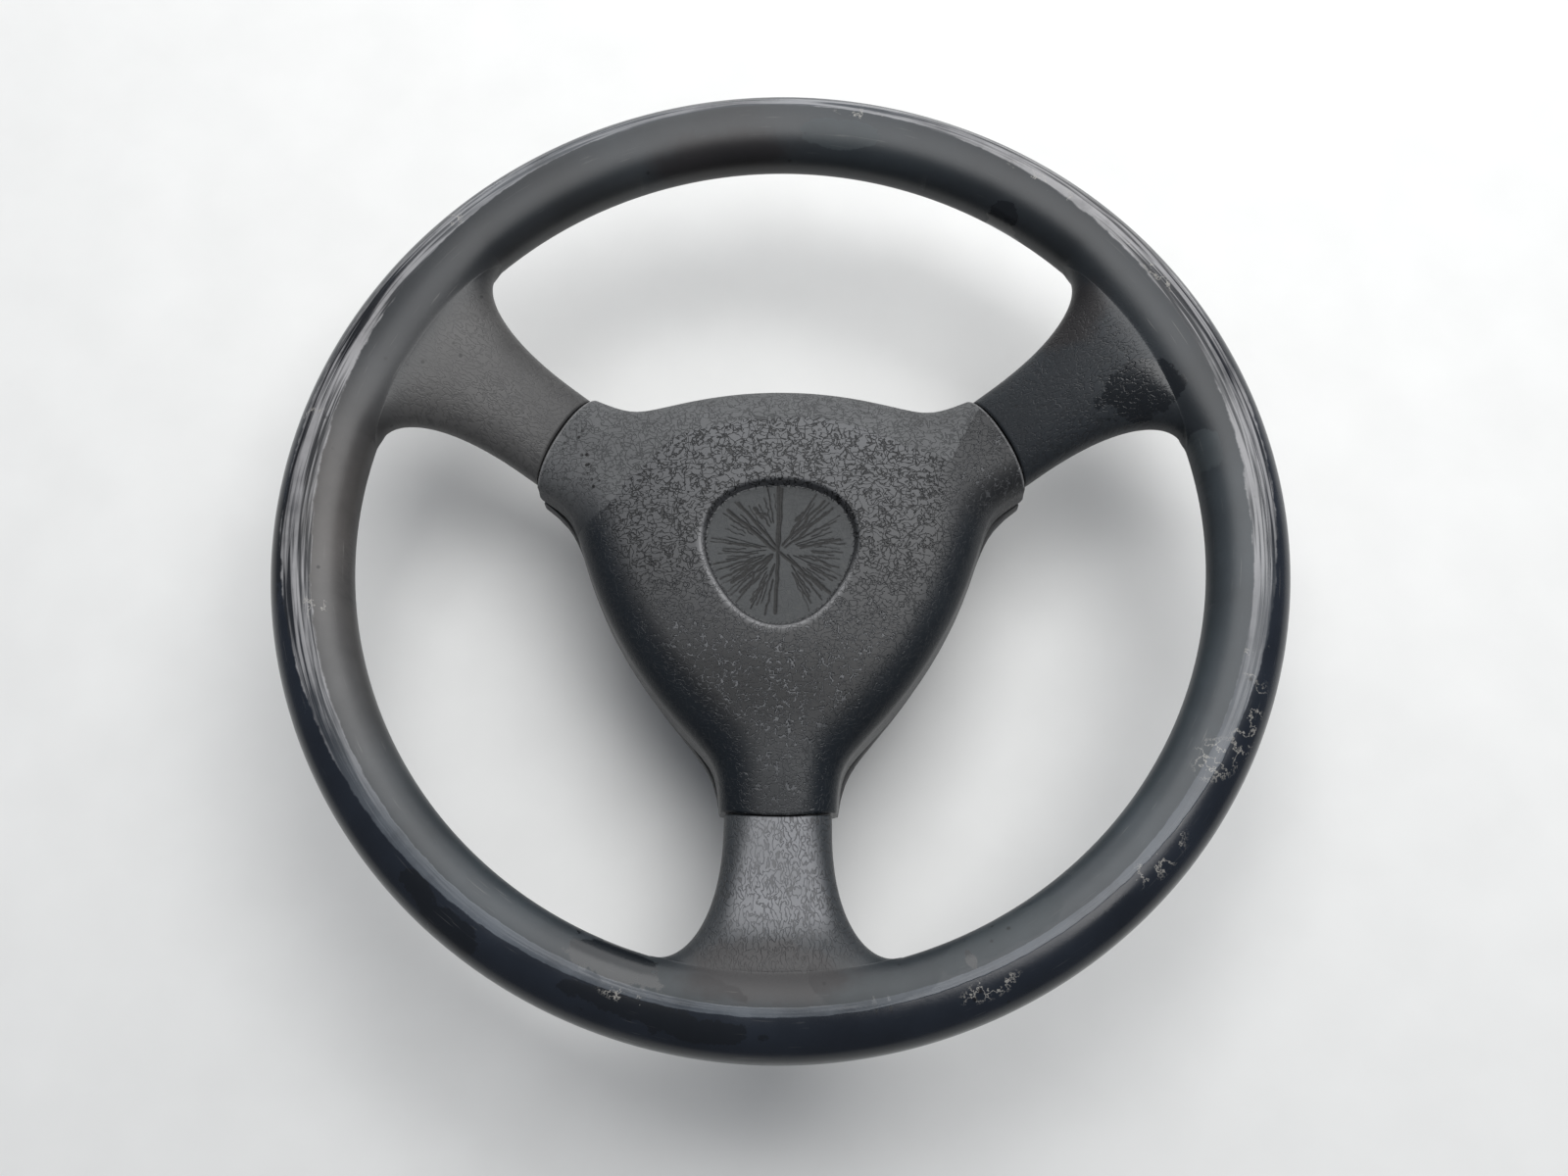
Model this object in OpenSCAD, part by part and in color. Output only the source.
// Car steering wheel with three spokes, a foam grip and a sprung horn pad
// The axis of the steering column is Z, towards the driver, and 12 o'clock is +Y
// The origin is on the axis at the rear face of the hub's steel boss

/* [Rim] */
// Outer radius of the rim
rim_r = 190; // [180:1:200]
// Width of the rim's section, seen from the driver
rim_w = 30.4; // [27:0.2:34]
// Thickness of the rim's section from front to back
rim_t = 25.8; // [23:0.2:30]
// Fullness of the rim's section, where 2 is an ellipse
rim_full = 2.3; // [2:0.1:3]
// Height of the rim's middle plane above the boss's rear face
rim_height = 78; // [74:1:90]
// Radius of the steel ring inside the rim
core_r = 5; // [4:0.5:6]

/* [Spokes] */
// Width of a spoke where its sides run straight
spoke_w = 40; // [34:1:44]
// Thickness of a spoke
spoke_t = 19; // [17:0.5:22]
// Fullness of a spoke's section, where 2 is an ellipse
spoke_full = 2.6; // [2:0.1:3.5]
// How far the spokes fall from the rim to the seam of the pad
spoke_drop = 24; // [22:0.5:26]
// Distance from the axis at which a spoke starts to flare
flare_start = 108; // [104:1:116]
// Length of the flare's straight lead along the spoke
flare_lead = 34; // [24:1:38]
// Length of the flare's straight lead along the rim
flare_foot = 12; // [8:1:16]
// Half of the angle that a spoke's foot covers on the rim
flare_angle = 16; // [14:0.5:20]

/* [Horn pad] */
// Distance from the axis to the seam between the pad and a spoke
seam_r = 101; // [98:0.5:104]
// Width of that seam
seam_gap = 0.8; // [0.6:0.1:1.5]
// Width of each lobe of the pad
lobe_w = 42; // [39:1:46]
// Distance from the axis to the middle of the pad's side
pad_side = 69; // [67:0.5:72]
// Radius of the curve of the pad's side
pad_side_curve = 160; // [130:10:300]
// Depth of the pad's middle below the rim's middle plane
pad_sink = 6.2; // [5:0.1:7]
// How far the pad's face falls from its middle to the lobes' ends
pad_fall = 8.5; // [7.5:0.1:9]
// Width of the pad's rounded shoulder
shoulder_w = 18; // [14:0.5:21]
// Height of the pad's rounded shoulder
shoulder_h = 11; // [8:0.5:11.5]
// Depth of the pad's lower edge below the rim's middle plane
pad_skirt = 33; // [31:0.5:34]
// Thickness of the pad's side wall
pad_wall = 3.5; // [3:0.1:4.5]
// Slope of the pad's side wall, as its outward run
pad_draft = 0.6; // [0.4:0.1:2]
// Travel of the pad when the horn is pressed
pad_travel = 1.8; // [1:0.1:2.2]
// Mean radius of the recess in the pad's middle
recess_r = 29.2; // [26:0.2:31]
// How far the recess bulges towards the spokes
recess_bulge = 1.5; // [0:0.1:2]
// Depth of the recess
recess_depth = 3.2; // [2:0.1:5]

/* [Horn mechanism] */
// Depth of the horn plate's top face below the rim's middle plane
plate_sink = 20.5; // [20:0.1:21]
// Thickness of the horn plate
plate_t = 2; // [1.5:0.1:2]
// Radius of a guide screw's smooth shank
shank_r = 3; // [2.8:0.1:3.2]
// Radius of a guide screw's head
head_r = 5.5; // [5:0.1:6]
// Height of a guide screw's head
head_h = 4; // [3:0.1:4.2]
// Radius of a guide bush's sleeve
bush_r = 4.5; // [4.2:0.1:4.8]
// Radius of a guide bush's flange
flange_r = 8; // [7:0.5:8]
// Thickness of a guide bush's flange
flange_t = 1.5; // [1:0.1:2]
// Mean radius of a horn spring's coils
spring_r = 6.8; // [6.6:0.1:7]
// Diameter of the spring wire
spring_wire = 1.4; // [1:0.1:1.5]
// Number of turns of a horn spring
spring_turns = 5; // [4:1:6]
// Thickness of the insulating wall that carries the contact ring
contact_wall = 6; // [5:0.5:6]
// Thickness of the contact ring
contact_t = 1.2; // [1:0.1:1.5]
// Length of a contact rivet below the horn plate
rivet_l = 1.6; // [1:0.1:2]

/* [Hub] */
// Depth of the hub plate's top face below the rim's middle plane
hub_sink = 46; // [44:0.5:48]
// Thickness of the hub plate
hub_plate_t = 6; // [5.5:0.5:7]
// Thickness of the arms
arm_t = 5; // [4:0.5:5]
// Width of an arm at the hub
arm_w = 26; // [22:1:28]
// Width of an arm at the rim
arm_tip_w = 16; // [14:1:20]
// Width of the rib on each arm
rib_w = 5; // [4:0.5:7]
// Height of the rib on each arm
rib_h = 4; // [2:0.5:6]
// Height of the thick middle below the hub plate
hub_below = 8; // [6:0.5:10]
// Height of the thick middle above the hub plate
hub_above = 3; // [2:0.5:4]
// Outer radius of the steel boss
boss_r = 16; // [15:0.5:17]
// Radius of the boss's plain pilot bore
pilot_r = 9; // [8.5:0.25:10]
// Length of the pilot bore
pilot_l = 14; // [12:1:16]
// Outer radius of the splines in the boss
spline_r = 8.5; // [8:0.1:8.9]
// Depth of a spline
spline_depth = 0.7; // [0.5:0.1:1]
// Number of splines
spline_count = 36; // [24:1:48]
// Radius of a puller hole
puller_hole_r = 3.4; // [2.8:0.1:3.6]

/* [Slip ring] */
// Width of the slip ring
slip_w = 7; // [6:0.5:7]
// Thickness of the slip ring
slip_t = 1; // [0.8:0.1:1.5]
// Thickness of the insulating slip ring base
slip_base_t = 6; // [5:0.5:7]
// Radius of the feed stud
stud_r = 1.2; // [1:0.1:1.4]
// Length of the cancel cam along the boss
cam_l = 14; // [12:1:16]
// Wall of the cancel cam
cam_wall = 3.4; // [3:0.1:3.8]
// Reach of the cancel cam's two fins
fin_reach = 5; // [3:0.5:6]

/* [Rear cover] */
// Reach of the rear cover's collar behind the slip ring
collar_reach = 18; // [15:0.5:22]
// Outer radius of the collar
collar_r = 46; // [45:0.5:48]
// Wall of the rear cover
cover_wall = 2.6; // [2.2:0.1:2.8]
// How far the rear cover's side stands out beyond the pad's upper outline
cover_out = -1; // [-2:0.1:0.5]
// Roundness of the cover's inner corners beside the spokes
cover_blend = 12.5; // [9:0.5:15]
// Height of the cover's upright edge
cover_edge = 6; // [4:0.5:8]
// Length of the collar's straight part
collar_l = 14; // [12:0.5:16]
// Radius of a cover screw's thread
cover_screw_r = 2; // [1.8:0.1:2.2]

/* [Hidden] */
$fn = 48;

// Clearance round pieces that are moulded, cast or screwed into another
seat_gap = 0.05;
// Running clearance of a guide bush on its screw
run_gap = 0.05;
// Clearance between moving pieces and their neighbours
move_gap = 0.5;

// Directions of the spokes and of the guide screws between them
spoke_angles = [30, 150, 270];
guide_angles = [90, 210, 330];

rim_in = rim_r - rim_w;
rim_mid = rim_r - rim_w / 2;
lobe_end = seam_r - seam_gap / 2;
grip_end = seam_r + seam_gap / 2;
pad_z = rim_height - pad_sink;
pad_low = rim_height - pad_skirt;
plate_top = rim_height - plate_sink;
plate_low = plate_top - plate_t;
hub_top = rim_height - hub_sink;
hub_low = hub_top - hub_plate_t;
hub_mid = hub_top - hub_plate_t / 2;
arm_back = hub_mid - arm_t / 2;
hub_rise = hub_top + hub_above;
boss_top = hub_rise + 1;
hub_back = hub_low - hub_below;
slip_back = hub_back - slip_base_t;

// Distances from the axis, each from its neighbour's: from the boss out to the guide screws and the arms
key_r = boss_r + 3;
puller_r = key_r + puller_hole_r + 0.6;
cam_r = boss_r + cam_wall;
base_screw_r = 1.5;
base_head_r = base_screw_r + 1.3;
base_well_r = base_head_r + 0.2;
base_screw_x = cam_r + base_well_r + 1.8;
slip_r = base_screw_x + base_well_r + 0.3 + slip_w / 2;
contact_r = slip_r + slip_w / 2 - stud_r - 0.4;
contact_out = contact_r + contact_wall / 2;
hub_r = contact_r - contact_wall / 2 - 0.3;
plate_hole_r = 0.8 * hub_r;
seat_r = spring_r + spring_wire / 2 + 0.8;
guide_r = contact_out + 1.4 + seat_r;
ear_r = seat_r + 0.7;
ear_low = hub_low - 1.5;
hub_plate_r = guide_r - 4;
post_r = 6;
knee_in = 35;
arm_knee = max(seam_r - knee_in, hub_plate_r + 2 * post_r + 1);
cover_screw_x = arm_knee - post_r;
plate_screw_in = 20.6;
plate_screw_x = lobe_end - plate_screw_in;

// Height of the spokes' middle surface at distance x from the axis
dish_soft = 8;
function dish(u) = u * u / (u + dish_soft);
function mid_z(x) = rim_height - spoke_drop * dish(max(0, rim_in - x)) / dish(rim_in - seam_r);

// Height of a superellipse of half height 1 at t from -1 to 1
function full(t, p) = pow(1 - pow(abs(t), p), 1 / p);
function mix(a, b, f) = a + (b - a) * f;
function turn(x, y, a) = [x * cos(a) - y * sin(a), x * sin(a) + y * cos(a)];

// Edge of a spoke's flare, a cubic curve that ends along the rim
flare_end = [rim_in * cos(flare_angle), rim_in * sin(flare_angle)];
flare_turn = flare_end - flare_foot * [-sin(flare_angle), cos(flare_angle)];
function flare(u) =
    pow(1 - u, 3) * [flare_start, spoke_w / 2]
    + 3 * u * pow(1 - u, 2) * [flare_start + flare_lead, spoke_w / 2]
    + 3 * u * u * (1 - u) * flare_turn
    + pow(u, 3) * flare_end;

// Steps across half a spoke, round half the rim's section and along a spoke
across_n = 6;
section_n = 10;
straight_n = 2;
flare_n = 9;
free_n = 11;
across = [for (j = [-across_n : across_n]) sin(90 * j / across_n)];
row_n = straight_n + flare_n;
function edge(s) = s < straight_n
    ? [mix(grip_end, flare_start, s / straight_n), spoke_w / 2]
    : flare((s - straight_n) / flare_n);
function foot_angle(t) = asin(t * sin(flare_angle));
function spoke_half(t) = spoke_t / 2 * full(t, spoke_full);

// A point of the spoke's skin: row s, place t across, side 1 front or -1 back
function spoke_skin(a, s, t, side) =
    s == row_n
    ? [rim_in * cos(a + foot_angle(t)), rim_in * sin(a + foot_angle(t)), rim_height + side * spoke_half(t)]
    : let (
        e = edge(s),
        y = t * e[1],
        bow = pow(s / row_n, 2),
        seam_bow = pow(1 - s / row_n, 3) * (sqrt(grip_end * grip_end - y * y) - grip_end),
        x = e[0] + seam_bow + bow * (sqrt(rim_in * rim_in - y * y) - sqrt(rim_in * rim_in - e[1] * e[1])),
        p = turn(x, y, a)
    ) [p[0], p[1], mid_z(mix(x, norm([x, y]), bow)) + side * spoke_half(t)];

// A point of the rim's skin: direction b, place t across the foot, step i over the section
blend_k = 3;
function rim_skin(b, t, i, side) =
    let (
        c = cos(180 * i / section_n),
        r = rim_mid + rim_w / 2 * sign(c) * pow(abs(c), 2 / rim_full),
        h = rim_t / 2 * pow(sin(180 * i / section_n), 2 / rim_full),
        fade = pow(max(0, 1 - (r - rim_in) / (rim_w * 0.7)), 0.5),
        foot = abs(t) < 1 ? spoke_half(t) * fade : 0,
        up = pow(pow(h, blend_k) + pow(foot, blend_k), 1 / blend_k)
    )
    i == section_n
    ? [rim_in * cos(b), rim_in * sin(b), rim_height + side * (abs(t) < 1 ? spoke_half(t) : 0)]
    : [r * cos(b), r * sin(b), rim_height + side * up];

// Directions round the rim, each with its place across a foot, 1 where the rim is free
rim_stations = [for (a = spoke_angles) each concat(
    [for (t = across) [a + foot_angle(t), t]],
    [for (k = [1 : free_n - 1]) [mix(a + flare_angle, a + 120 - flare_angle, k / free_n), 1]]
)];

function flip(q) = [for (i = [len(q) - 1 : -1 : 0]) q[i]];
function faced(q, side) = side > 0 ? q : flip(q);

rim_quads = [for (side = [1, -1], k = [0 : len(rim_stations) - 1], i = [0 : section_n - 1])
    let (m = rim_stations[k], n = rim_stations[(k + 1) % len(rim_stations)])
    faced([rim_skin(m[0], m[1], i, side), rim_skin(m[0], m[1], i + 1, side),
        rim_skin(n[0], n[1], i + 1, side), rim_skin(n[0], n[1], i, side)], side)];
spoke_quads = [for (a = spoke_angles, side = [1, -1], s = [0 : row_n - 1], j = [0 : len(across) - 2])
    faced([spoke_skin(a, s, across[j], side), spoke_skin(a, s, across[j + 1], side),
        spoke_skin(a, s + 1, across[j + 1], side), spoke_skin(a, s + 1, across[j], side)], side)];
end_quads = [for (a = spoke_angles, j = [0 : len(across) - 2])
    let (
        m = across[j],
        n = across[j + 1],
        q = [spoke_skin(a, 0, m, 1), spoke_skin(a, 0, m, -1), spoke_skin(a, 0, n, -1), spoke_skin(a, 0, n, 1)]
    ) j == 0 ? [q[0], q[2], q[3]] : j == len(across) - 2 ? [q[0], q[1], q[2]] : q];

// One closed skin from a list of patches, each three or four corners
module skin(patches) {
    starts = [for (i = 0, n = 0; i < len(patches); n = n + len(patches[i]), i = i + 1) n];
    polyhedron(
        points = [for (q = patches) each q],
        faces = [for (i = [0 : len(patches) - 1]) [for (c = [0 : len(patches[i]) - 1]) starts[i] + c]],
        convexity = 8
    );
}

// The steel ring inside the rim
module ring_solid(r) {
    translate([0, 0, rim_height]) rotate_extrude($fn = 96) translate([rim_mid, 0]) circle(r, $fn = 32);
}

// An arm of the frame: its side profile, cut to its tapered plan
arm_low = 3;
lug_r = core_r + 3.2;
lug_l = 26;
arm_in_foam = [for (f = [0 : 0.2 : 1]) mix(seam_r + 4, rim_in, f)];
function arm_z(x) = x <= arm_knee ? hub_mid
    : x >= rim_mid ? rim_height
    : mid_z(x) - arm_low * min(1, (rim_mid - x) / (rim_mid - rim_in));
arm_root = hub_r - 7;
arm_foot = seam_r - 3;
arm_line = concat([arm_root + 1, arm_knee, arm_foot], arm_in_foam, [rim_mid]);
module arm_solid(gap) {
    t = arm_t / 2 + gap;
    intersection() {
        rotate([90, 0, 0]) linear_extrude(arm_w + 2, center = true) polygon(concat(
            [for (x = arm_line) [x, arm_z(x) + t]],
            [for (x = flip(arm_line)) [x, arm_z(x) - t]]
        ));
        translate([0, 0, hub_low - 1]) linear_extrude(rim_height) polygon([
            [arm_root, arm_w / 2 + gap], [rim_mid + 1, arm_tip_w / 2 + gap],
            [rim_mid + 1, -arm_tip_w / 2 - gap], [arm_root, -arm_w / 2 - gap]
        ]);
    }
    translate([rim_mid, 0, rim_height]) rotate([90, 0, 0])
        cylinder(r = lug_r + gap, h = lug_l + 2 * gap, center = true);
}

module rim_grip() {
    color("#24282c") difference() {
        skin(concat(rim_quads, spoke_quads, end_quads));
        ring_solid(core_r + seat_gap);
        for (a = spoke_angles) rotate(a) arm_solid(seat_gap);
    }
}

module rim_core() {
    color("#8c8f90") ring_solid(core_r);
}

// Steel boss with a twelve-sided key ring that holds it in the casting
key_h = 6;
module boss_solid(gap) {
    cylinder(r = boss_r + gap, h = boss_top);
    translate([0, 0, hub_low - gap]) cylinder(r = key_r + gap, h = key_h + 2 * gap, $fn = 12);
}
module spline_bore() {
    linear_extrude(boss_top) polygon([for (i = [0 : 2 * spline_count - 1])
        let (r = i % 2 == 0 ? spline_r : spline_r - spline_depth, a = 180 * i / spline_count)
        [r * cos(a), r * sin(a)]]);
}
module hub_boss() {
    color("#6d6f70") difference() {
        boss_solid(0);
        translate([0, 0, -1]) cylinder(r = pilot_r, h = pilot_l + 1);
        translate([0, 0, 0.5]) spline_bore();
        translate([0, 0, boss_top - 1]) cylinder(r = spline_r + 1, h = 2);
    }
}

// Die-cast frame: hub, three arms and the lugs that are cast round the steel ring
guide_thread_r = shank_r - 0.5;
base_screw_bite = 4;
rib_start = hub_plate_r - 6;
rib_end = arm_foot - 13;
module arm_rib() {
    rotate([90, 0, 0]) linear_extrude(rib_w, center = true) polygon([
        [rib_start, hub_mid], [rib_start + 1, hub_top + rib_h / 2], [arm_knee, hub_mid + arm_t / 2 + rib_h],
        [rib_end, mix(hub_mid, arm_z(arm_foot), (rib_end - arm_knee) / (arm_foot - arm_knee))], [arm_knee, hub_mid]
    ]);
}
module spoke_frame() {
    color("#a9acad") difference() {
        union() {
            for (a = spoke_angles) rotate(a) {
                arm_solid(0);
                arm_rib();
            }
            translate([0, 0, hub_low]) cylinder(r = hub_plate_r, h = hub_plate_t);
            translate([0, 0, hub_back]) cylinder(r = hub_r, h = hub_rise - hub_back);
            for (a = guide_angles) rotate(a) translate([guide_r, 0, ear_low])
                cylinder(r = ear_r, h = hub_top - ear_low);
        }
        ring_solid(core_r + seat_gap);
        boss_solid(seat_gap);
        for (a = guide_angles) rotate(a) {
            translate([guide_r, 0, ear_low - 1]) cylinder(r = guide_thread_r + seat_gap, h = hub_top - ear_low + 2);
            translate([base_screw_x, 0, hub_back - 1]) cylinder(r = base_screw_r + seat_gap, h = base_screw_bite + 2);
        }
        for (x = [-puller_r, puller_r])
            translate([x, 0, hub_back - 1]) cylinder(r = puller_hole_r, h = hub_rise - hub_back + 2);
        for (a = spoke_angles) rotate(a)
            translate([cover_screw_x, 0, arm_back - 1]) cylinder(r = cover_screw_r + seat_gap, h = cover_grip + 1.5);
        translate([0, contact_r, hub_low - 1]) cylinder(r = sleeve_r + seat_gap, h = hub_plate_t + 2);
    }
}

// Collar on the boss whose two fins cancel the turn signal
cam_top = hub_back;
fin_w = 5;
fin_h = 6;
module cancel_cam() {
    color("#d8d4c4") difference() {
        union() {
            translate([0, 0, cam_top - cam_l]) cylinder(r = cam_r, h = cam_l);
            translate([0, 0, cam_top - cam_l + fin_h / 2])
                cube([2 * (cam_r + fin_reach), fin_w, fin_h], center = true);
        }
        translate([0, 0, cam_top - cam_l - 1]) cylinder(r = boss_r + seat_gap, h = cam_l + 2);
    }
}

module slip_ring_base() {
    color("#3b2a20") difference() {
        translate([0, 0, slip_back]) cylinder(r = slip_r + slip_w / 2 + 1.5, h = slip_base_t);
        translate([0, 0, slip_back - 1]) cylinder(r = cam_r + 0.4, h = slip_base_t + 2);
        slip_groove(seat_gap);
        translate([0, contact_r, slip_back - 1]) cylinder(r = stud_r + seat_gap, h = slip_base_t + 2);
        for (a = guide_angles) rotate(a) translate([base_screw_x, 0, slip_back]) {
            translate([0, 0, -1]) cylinder(r = base_screw_r + 0.2, h = slip_base_t + 2);
            translate([0, 0, -1]) cylinder(r = base_well_r, h = base_head_h + 1.5);
        }
    }
}
module slip_groove(gap) {
    translate([0, 0, slip_back - gap]) difference() {
        cylinder(r = slip_r + slip_w / 2 + gap, h = slip_t + gap);
        translate([0, 0, -1]) cylinder(r = slip_r - slip_w / 2 - gap, h = slip_t + 2);
    }
}
module slip_ring() {
    color("#b58a3c") slip_groove(0);
}
base_head_h = 1.5;
module slip_ring_screws() {
    color("#9a9c9d") for (a = guide_angles) rotate(a) translate([base_screw_x, 0, slip_back + 0.5]) {
        difference() {
            cylinder(r = base_head_r, h = base_head_h);
            cube([3 * base_head_r, base_screw_r / 2, base_head_h], center = true);
        }
        translate([0, 0, base_head_h])
            cylinder(r = base_screw_r, h = slip_base_t - base_head_h - 0.5 + base_screw_bite);
    }
}

// The live feed from the slip ring to the contact ring, with its sleeve through the hub
sleeve_r = stud_r + 1.4;
module feed_sleeve() {
    color("#e6e2d6") difference() {
        translate([0, contact_r, hub_back]) cylinder(r = sleeve_r, h = hub_top - hub_back);
        translate([0, contact_r, hub_back - 1]) cylinder(r = stud_r + seat_gap, h = hub_top - hub_back + 2);
    }
}
module feed_stud() {
    color("#b58a3c") translate([0, contact_r, slip_back + slip_t])
        cylinder(r = stud_r, h = contact_low - slip_back - slip_t);
}

contact_top = plate_low - rivet_l - pad_travel - 0.1;
contact_low = contact_top - contact_t;
module contact_base() {
    color("#3b2a20") difference() {
        translate([0, 0, hub_top]) cylinder(r = contact_out, h = contact_low - hub_top);
        translate([0, 0, hub_top - 1]) cylinder(r = contact_r - contact_wall / 2, h = rim_height);
        translate([0, contact_r, hub_top - 1]) cylinder(r = stud_r + seat_gap, h = rim_height);
    }
}
module contact_ring() {
    color("#b58a3c") difference() {
        translate([0, 0, contact_low]) cylinder(r = contact_out - 0.8, h = contact_t);
        translate([0, 0, contact_low - 1]) cylinder(r = contact_r - contact_wall / 2 + 0.8, h = contact_t + 2);
    }
}

// Shouldered screws that guide the horn plate and stop it at the top
head_low = plate_top + flange_t + 0.1;
socket_r = 2.3;
socket_h = 2.4;
module guide_screws() {
    color("#9a9c9d") for (a = guide_angles) rotate(a) translate([guide_r, 0, 0]) {
        translate([0, 0, hub_top]) cylinder(r = shank_r, h = head_low - hub_top);
        translate([0, 0, ear_low]) cylinder(r = guide_thread_r, h = hub_top - ear_low);
        translate([0, 0, head_low]) difference() {
            cylinder(r = head_r, h = head_h);
            translate([0, 0, head_h - socket_h]) cylinder(r = socket_r, h = socket_h + 1, $fn = 6);
        }
    }
}
seat_t = 1.5;
module spring_seats() {
    color("#e6e2d6") for (a = guide_angles) rotate(a) translate([guide_r, 0, hub_top]) difference() {
        cylinder(r = seat_r, h = seat_t);
        translate([0, 0, -1]) cylinder(r = shank_r + 0.1, h = seat_t + 2);
    }
}

// A coil spring whose end turns lie close, as one skin swept along its helix
wire_sides = 6;
turn_steps = 10;
spring_low = hub_top + seat_t;
spring_h = plate_low - spring_low - 0.04;
coil_steps = spring_turns * turn_steps;
coil_rise = spring_h - spring_wire;
close_rise = spring_wire * 1.04;
function coil_z(u) = u <= 1 ? close_rise * u
    : u >= spring_turns - 1 ? coil_rise - close_rise * (spring_turns - u)
    : mix(close_rise, coil_rise - close_rise, (u - 1) / (spring_turns - 2));
function wire_point(k, j) =
    let (a = 360 * k / turn_steps, b = 360 * j / wire_sides, r = spring_r + spring_wire / 2 * cos(b))
    [r * cos(a), r * sin(a), spring_wire / 2 + coil_z(k / turn_steps) + spring_wire / 2 * sin(b)];
spring_quads = concat(
    [for (k = [0 : coil_steps - 1], j = [0 : wire_sides - 1])
        [wire_point(k, j), wire_point(k + 1, j), wire_point(k + 1, j + 1 == wire_sides ? 0 : j + 1),
            wire_point(k, j + 1 == wire_sides ? 0 : j + 1)]],
    [[for (j = [0 : wire_sides - 1]) wire_point(0, j)]],
    [[for (j = [wire_sides - 1 : -1 : 0]) wire_point(coil_steps, j)]]
);
module horn_spring(a) {
    color("#8c8f90") rotate(a) translate([guide_r, 0, spring_low + 0.02]) skin(spring_quads);
}
module horn_spring_1() { horn_spring(guide_angles[0]); }
module horn_spring_2() { horn_spring(guide_angles[1]); }
module horn_spring_3() { horn_spring(guide_angles[2]); }

// Inward distance from the pad's outline at radius r and angle d from the nearest spoke
side_back = pad_side_curve - pad_side;
pad_blend = 7.4;
function soft_max(a, b, k) = (a + b + sqrt((a - b) * (a - b) + k * k)) / 2;
function inside(r, d, k = pad_blend) = soft_max(
    lobe_w / 2 - r * sin(d),
    pad_side_curve - norm([r * cos(60 - d) + side_back, r * sin(60 - d)]),
    k
);
search_steps = 30;
function ray_end(d, off, k, lo, hi, n) = n == 0 ? (lo + hi) / 2
    : let (m = (lo + hi) / 2)
    inside(m, d, k) > off ? ray_end(d, off, k, m, hi, n - 1) : ray_end(d, off, k, lo, m, n - 1);
// Radius of the pad's outline at angle d, moved inwards by off, with its lobe ending at e
function outline(d, off, e, k = pad_blend) = min(e, ray_end(d, off, k, pad_side / 2, rim_in, search_steps));
corner = asin(lobe_w / 2 / lobe_end);
half_steps = concat([for (f = [0, 0.33, 0.67, 0.9]) f * corner],
    [for (g = [0, 1.4, 3.3, 5.2, 7.2, 9.4, 12.5]) corner + g], [28, 34, 40, 46, 53]);
// Directions round the pad, each with its angle from the nearest spoke
pad_stations = [for (a = spoke_angles) each concat(
    [for (d = half_steps) [a + d, d]],
    [[a + 60, 60]],
    [for (k = [len(half_steps) - 1 : -1 : 1]) [a + 120 - half_steps[k], half_steps[k]]]
)];
function plan(off, e) = [for (s = pad_stations) outline(s[1], off, e) * [cos(s[0]), sin(s[0])]];

// Height of the pad's face: a shallow dome with a rounded shoulder along its sides
shoulder_full = 2.2;
function face_z(r, d) =
    let (
        q = max(0, min(inside(r, d), shoulder_w)),
        f = (shoulder_w - q) / shoulder_w,
        out = max(0, r - recess_r) / (lobe_end - recess_r)
    ) pad_z - pad_fall * pow(out, 1.6) - shoulder_h * (1 - full(f, shoulder_full));
recess_low = pad_z - recess_depth;
function recess_edge(b) = recess_r + recess_bulge * cos(3 * (b - spoke_angles[0]));
pad_rings = [0.3, 0.55, 0.72, 0.84, 0.92, 0.97, 0.993, 1];
// Points of the pad's skin in direction s, from the recess's floor over the lower edge into the hollow
function pad_column(s) =
    let (
        b = s[0],
        e = recess_edge(b),
        r = outline(s[1], 0, lobe_end),
        low = outline(s[1], -pad_draft, lobe_end),
        hollow = outline(s[1], pad_wall, lobe_end - pad_wall)
    ) concat(
        [[(e - 1.2) * cos(b), (e - 1.2) * sin(b), recess_low]],
        [[e * cos(b), e * sin(b), pad_z - 1]],
        [[(e + 1) * cos(b), (e + 1) * sin(b), face_z(e + 1, s[1])]],
        [for (f = pad_rings) let (x = mix(e + 1, r, f)) [x * cos(b), x * sin(b), face_z(x, s[1])]],
        [[low * cos(b), low * sin(b), pad_low]],
        [for (z = [pad_low, plate_top]) [hollow * cos(b), hollow * sin(b), z]]
    );
pad_columns = [for (s = pad_stations) pad_column(s)];
// Patches of a skin whose columns stand side by side round the axis
function wrap(columns) = [for (k = [0 : len(columns) - 1], i = [0 : len(columns[0]) - 2])
    let (m = columns[k], n = columns[(k + 1) % len(columns)]) [m[i], m[i + 1], n[i + 1], n[i]]];
function fan(columns, i, z) = [for (k = [0 : len(columns) - 1])
    [columns[k][i], columns[(k + 1) % len(columns)][i], [0, 0, z]]];

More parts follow.
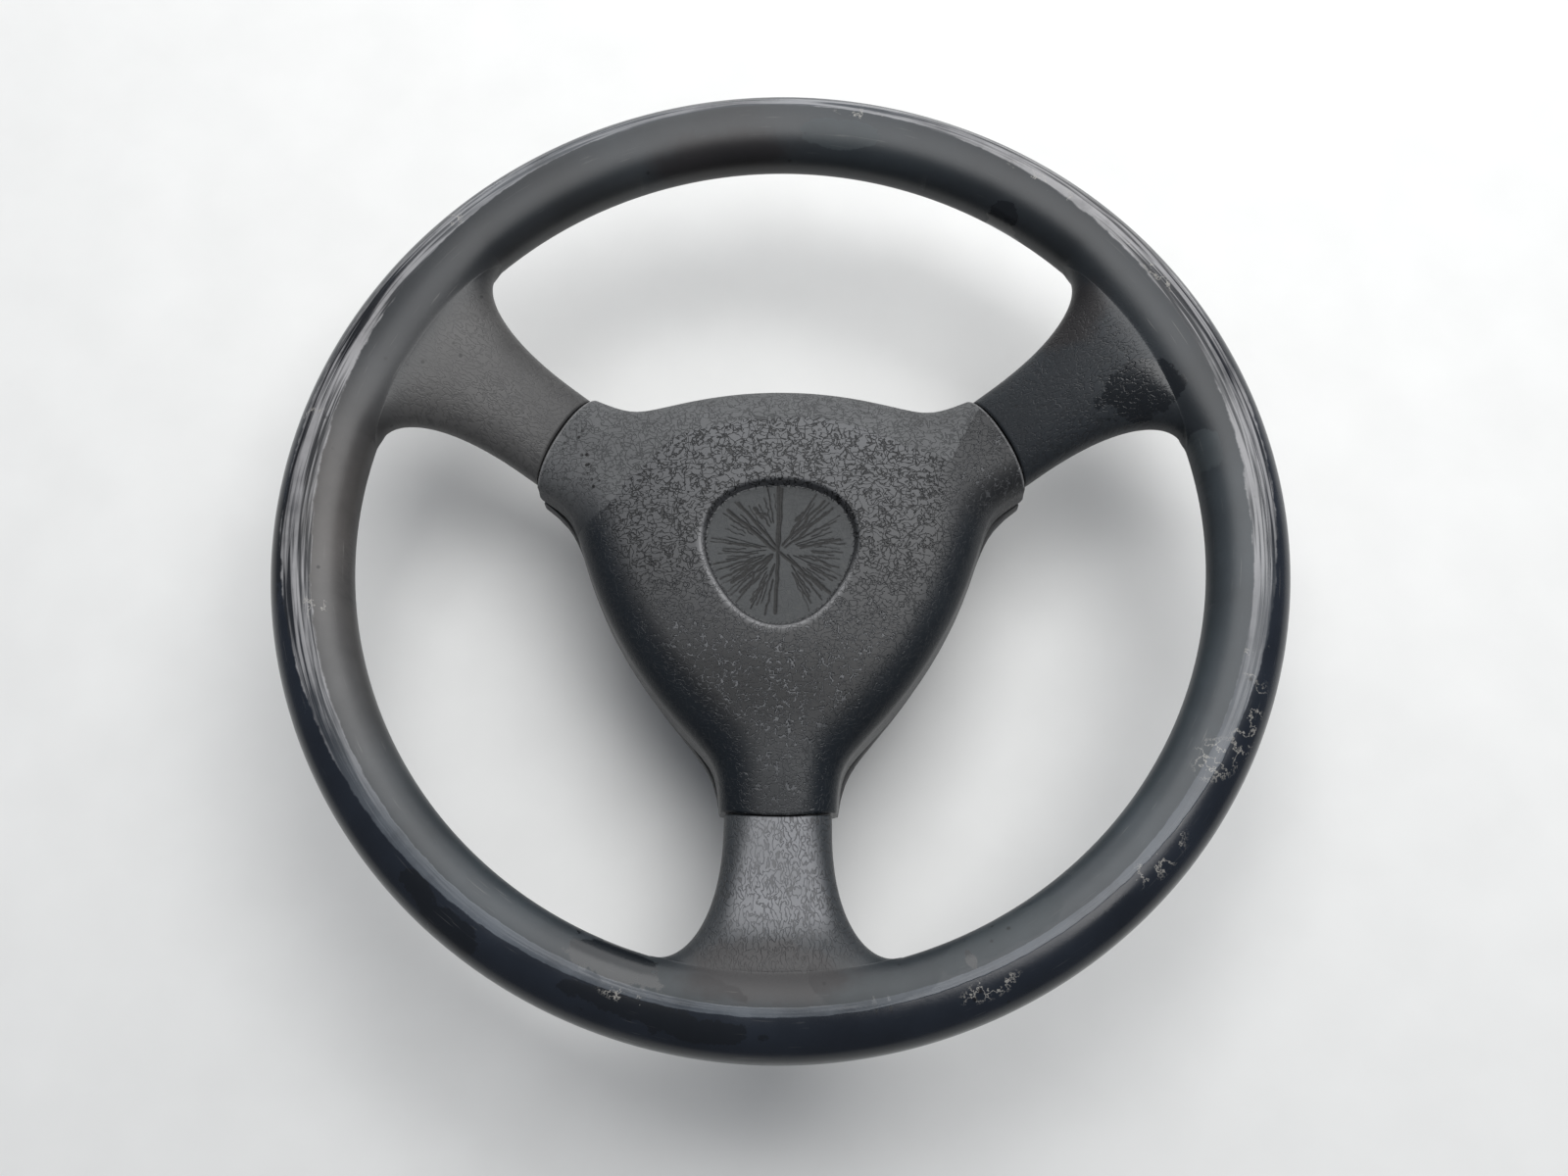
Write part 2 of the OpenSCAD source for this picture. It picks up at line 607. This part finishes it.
// Turn of a round cut in a many-sided skin, so that its start lies on no edge of the skin
off_edge = 17;
pocket_r = flange_r + 1;
pocket_h = head_low + head_h + pad_travel + move_gap - plate_top;
plate_screw_y = lobe_w / 2 - 8.5;
plate_screw_r = 1.6;
plate_screw_bite = 5.5;
plate_head_r = 3.2;
plate_head_h = 1.8;
module horn_pad() {
    last = len(pad_columns[0]) - 1;
    color("#3a3936") difference() {
        skin(concat(
            [for (q = wrap(pad_columns)) flip(q)],
            [for (q = fan(pad_columns, 0, recess_low)) flip(q)],
            fan(pad_columns, last, plate_top)
        ));
        for (a = guide_angles) rotate(a) translate([guide_r, 0, plate_top - 1]) rotate(off_edge)
            cylinder(r = pocket_r, h = pocket_h + 1);
        for (a = spoke_angles) rotate(a) {
            translate([lobe_end - 2 * pad_wall, -arm_w / 2, pad_low - 1])
                cube([3 * pad_wall, arm_w, arm_z(seam_r) + arm_t / 2 + pad_travel + move_gap - pad_low + 1]);
            for (y = [-plate_screw_y, plate_screw_y]) translate([plate_screw_x, y, plate_top - 1]) rotate(off_edge)
                cylinder(r = plate_screw_r + seat_gap, h = plate_screw_bite + 1.5);
        }
    }
}

// Steel plate inside the pad, on which the springs push
plate_edge = 0.4;
rivet_r = 1.3;
module horn_plate() {
    color("#7c7f80") difference() {
        translate([0, 0, plate_low]) linear_extrude(plate_t)
            polygon(plan(pad_wall + plate_edge, lobe_end - pad_wall - 2));
        translate([0, 0, plate_low - 1]) cylinder(r = plate_hole_r, h = plate_t + 2);
        for (a = guide_angles) rotate(a)
            translate([guide_r, 0, plate_low - 1]) cylinder(r = bush_r + seat_gap, h = plate_t + 2);
        for (a = spoke_angles) rotate(a) {
            translate([contact_r, 0, plate_low - 1]) cylinder(r = rivet_r + seat_gap, h = plate_t + 2);
            for (y = [-plate_screw_y, plate_screw_y]) translate([plate_screw_x, y, plate_low - 1])
                cylinder(r = plate_screw_r + 0.2, h = plate_t + 2);
        }
    }
}

bush_below = 3;
module guide_bush(a) {
    color("#e6e2d6") rotate(a) translate([guide_r, 0, 0]) difference() {
        union() {
            translate([0, 0, plate_low - bush_below]) cylinder(r = bush_r, h = plate_t + bush_below);
            translate([0, 0, plate_top]) cylinder(r = flange_r, h = flange_t);
        }
        translate([0, 0, plate_low - bush_below - 1])
            cylinder(r = shank_r + run_gap, h = plate_t + flange_t + bush_below + 2);
    }
}
module guide_bush_1() { guide_bush(guide_angles[0]); }
module guide_bush_2() { guide_bush(guide_angles[1]); }
module guide_bush_3() { guide_bush(guide_angles[2]); }

module contact_rivets() {
    color("#b58a3c") for (a = spoke_angles) rotate(a) translate([contact_r, 0, 0]) {
        translate([0, 0, plate_low]) cylinder(r = rivet_r, h = plate_t);
        translate([0, 0, plate_low - rivet_l]) cylinder(r1 = rivet_r + 0.3, r2 = rivet_r + 0.9, h = rivet_l);
    }
}
module plate_screws() {
    color("#9a9c9d") for (a = spoke_angles, y = [-plate_screw_y, plate_screw_y])
        rotate(a) translate([plate_screw_x, y, 0]) {
            translate([0, 0, plate_low - plate_head_h]) difference() {
                cylinder(r = plate_head_r, h = plate_head_h);
                cube([3 * plate_head_r, plate_screw_r / 2, plate_head_h], center = true);
            }
            translate([0, 0, plate_low]) cylinder(r = plate_screw_r, h = plate_t + plate_screw_bite);
        }
}

// Moulded bell behind the hub: the pad's outline at its front, a round collar at its back
cover_top = pad_low - pad_travel - 0.7;
cover_low = slip_back - collar_reach;
cover_tuck = 1.5;
cover_ease = 6;
neck_top = cover_low + collar_l;
function neck(z) = let (u = max(0, min(1, (cover_top - cover_edge - z) / (cover_top - cover_edge - neck_top))))
    (1 - cos(180 * u)) / 2;
cover_levels = concat([cover_top], [for (i = [0 : cover_ease]) mix(cover_top - cover_edge, neck_top, i / cover_ease)],
    [cover_low]);
function cover_column(s) =
    let (r = outline(s[1], -cover_out, lobe_end - cover_tuck, cover_blend), b = s[0])
    concat(
        [for (z = cover_levels) let (x = mix(r, collar_r, neck(z))) [x * cos(b), x * sin(b), z]],
        [for (z = flip(cover_levels))
            let (n = neck(z), lean = 4 * n * (1 - n), x = mix(r, collar_r, n) - cover_wall * (1 - 0.4 * lean))
            [x * cos(b), x * sin(b), z + 0.8 * cover_wall * lean]]
    );
cover_columns = [for (s = pad_stations) cover_column(s)];
post_l = 10;
post_low = arm_back - post_l;
cover_head_r = 3.9;
cover_head_h = 2.4;
cross_w = 0.9;
cover_grip = 3;
module rear_cover() {
    last = len(cover_columns[0]) - 1;
    color("#1f2124") difference() {
        union() {
            skin(concat(
                [for (q = wrap(cover_columns)) flip(q)],
                [for (k = [0 : len(cover_columns) - 1])
                    let (m = cover_columns[k], n = cover_columns[(k + 1) % len(cover_columns)])
                    flip([m[last], m[0], n[0], n[last]])]
            ));
            for (a = spoke_angles) rotate(a) translate([cover_screw_x, 0, post_low]) rotate(off_edge)
                cylinder(r = post_r, h = arm_back - post_low);
        }
        for (a = spoke_angles) rotate(a) translate([cover_screw_x, 0, cover_low]) rotate(off_edge) {
            cylinder(r = cover_screw_r + 0.2, h = rim_height);
            cylinder(r = cover_head_r + 0.5, h = arm_back - cover_grip - cover_low);
        }
    }
}
module cover_screws() {
    color("#9a9c9d") for (a = spoke_angles) rotate(a) translate([cover_screw_x, 0, arm_back - cover_grip]) {
        translate([0, 0, -cover_head_h]) difference() {
            cylinder(r = cover_head_r, h = cover_head_h);
            cube([1.2 * cover_head_r, cross_w, cover_head_h], center = true);
            cube([cross_w, 1.2 * cover_head_r, cover_head_h], center = true);
        }
        cylinder(r = cover_screw_r, h = 2 * cover_grip);
    }
}

rim_grip();
rim_core();
spoke_frame();
hub_boss();
cancel_cam();
slip_ring_base();
slip_ring();
slip_ring_screws();
feed_sleeve();
feed_stud();
contact_base();
contact_ring();
guide_screws();
spring_seats();
horn_spring_1();
horn_spring_2();
horn_spring_3();
rear_cover();
cover_screws();
horn_pad();
horn_plate();
guide_bush_1();
guide_bush_2();
guide_bush_3();
contact_rivets();
plate_screws();
